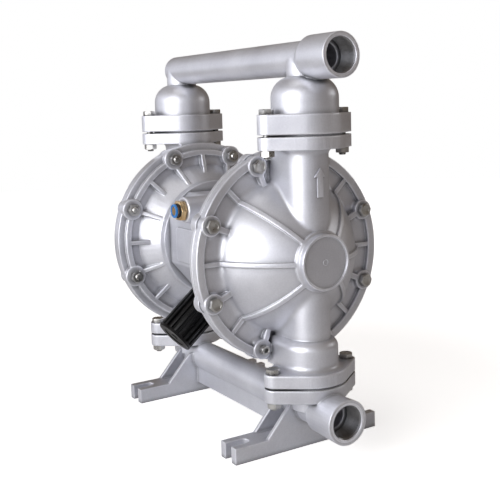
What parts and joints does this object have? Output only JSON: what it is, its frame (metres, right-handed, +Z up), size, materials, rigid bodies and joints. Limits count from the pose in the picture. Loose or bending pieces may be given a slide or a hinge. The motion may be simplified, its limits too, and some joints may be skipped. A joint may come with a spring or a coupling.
{
  "type": "air operated diaphragm pump",
  "caption": "Air operated double diaphragm pump with ball check valves, threaded suction and discharge ports, push-in air inlet, silencer and slotted feet.",
  "frame": {"origin": "middle of the four foot slots, on the plane that the feet stand on, below the diaphragm rod's middle", "axes": "+Z up through the valves, +X along the diaphragm rod towards the end that carries both liquid ports, -Y towards the side with the air inlet and the silencer"},
  "size_m": [0.483, 0.296, 0.5567],
  "materials": {
    "casting": "silver coat over an as-cast skin",
    "machined_aluminium": "turned, bare",
    "stainless": "plain bright",
    "bronze": "turned",
    "brass": "bright drawn hexagon",
    "elastomer": "moulded, matt black",
    "collet_plastic": "smooth blue",
    "silencer_plastic": "matt black, moulded"
  },
  "bodies": {
    "casing": {"air_valve_body": "casting", "air_valve_cap_left": "casting", "air_valve_cap_right": "casting", "air_valve_gasket": "elastomer", "air_valve_sleeve": "stainless", "center_body": "casting", "chamber_bolts_left": "stainless", "chamber_bolts_right": "stainless", "chamber_nuts_left": "stainless", "chamber_nuts_right": "stainless", "chamber_socket_screws_left": "stainless", "chamber_socket_screws_right": "stainless", "diaphragm_left": "elastomer", "diaphragm_right": "elastomer", "discharge_bolts": "stainless", "discharge_manifold": "casting", "discharge_nuts": "stainless", "discharge_seat_left": "machined_aluminium", "discharge_seat_right": "machined_aluminium", "discharge_seat_seal_left": "elastomer", "discharge_seat_seal_right": "elastomer", "fitting_ring": "elastomer", "hub_screws_left": "stainless", "hub_screws_right": "stainless", "inlet_fitting": "brass", "inner_chamber_left": "casting", "inner_chamber_right": "casting", "outer_chamber_left": "casting", "outer_chamber_right": "casting", "rod_bush_left": "bronze", "rod_bush_right": "bronze", "rod_seal_left": "elastomer", "rod_seal_right": "elastomer", "silencer": "silencer_plastic", "suction_bolts": "stainless", "suction_manifold": "casting", "suction_nuts": "stainless", "suction_seat_left": "machined_aluminium", "suction_seat_right": "machined_aluminium", "suction_seat_seal_left": "elastomer", "suction_seat_seal_right": "elastomer", "valve_cap_screws": "stainless", "valve_mount_screws": "stainless"},
    "rod_assembly": {"diaphragm_rod": "stainless", "inner_plate_left": "stainless", "inner_plate_right": "stainless", "outer_plate_left": "machined_aluminium", "outer_plate_right": "machined_aluminium"},
    "suction_ball_right_body": {"suction_ball_right": "elastomer"},
    "suction_ball_left_body": {"suction_ball_left": "elastomer"},
    "discharge_ball_right_body": {"discharge_ball_right": "elastomer"},
    "discharge_ball_left_body": {"discharge_ball_left": "elastomer"},
    "spool": {"air_valve_spool": "machined_aluminium"},
    "collet": {"release_collet": "collet_plastic"}
  },
  "joints": [
    {"name": "rod_slide", "type": "slide", "parent": "casing", "child": "rod_assembly", "axis": [1, 0, 0], "range_m": [-0.015, 0.015], "deforming": ["diaphragm_right", "diaphragm_left"]},
    {"name": "suction_ball_lift_right", "type": "slide", "parent": "casing", "child": "suction_ball_right_body", "axis": [0, 0, 1], "range_m": [0, 0.014]},
    {"name": "suction_ball_lift_left", "type": "slide", "parent": "casing", "child": "suction_ball_left_body", "axis": [0, 0, 1], "range_m": [0, 0.014]},
    {"name": "discharge_ball_lift_right", "type": "slide", "parent": "casing", "child": "discharge_ball_right_body", "axis": [0, 0, 1], "range_m": [0, 0.014]},
    {"name": "discharge_ball_lift_left", "type": "slide", "parent": "casing", "child": "discharge_ball_left_body", "axis": [0, 0, 1], "range_m": [0, 0.014]},
    {"name": "spool_slide", "type": "slide", "parent": "casing", "child": "spool", "axis": [1, 0, 0], "range_m": [0, 0.01]},
    {"name": "collet_press", "type": "slide", "parent": "casing", "child": "collet", "axis": [0, 1, 0], "range_m": [0, 0.0015], "stiffness_N_per_m": 1500}
  ]
}
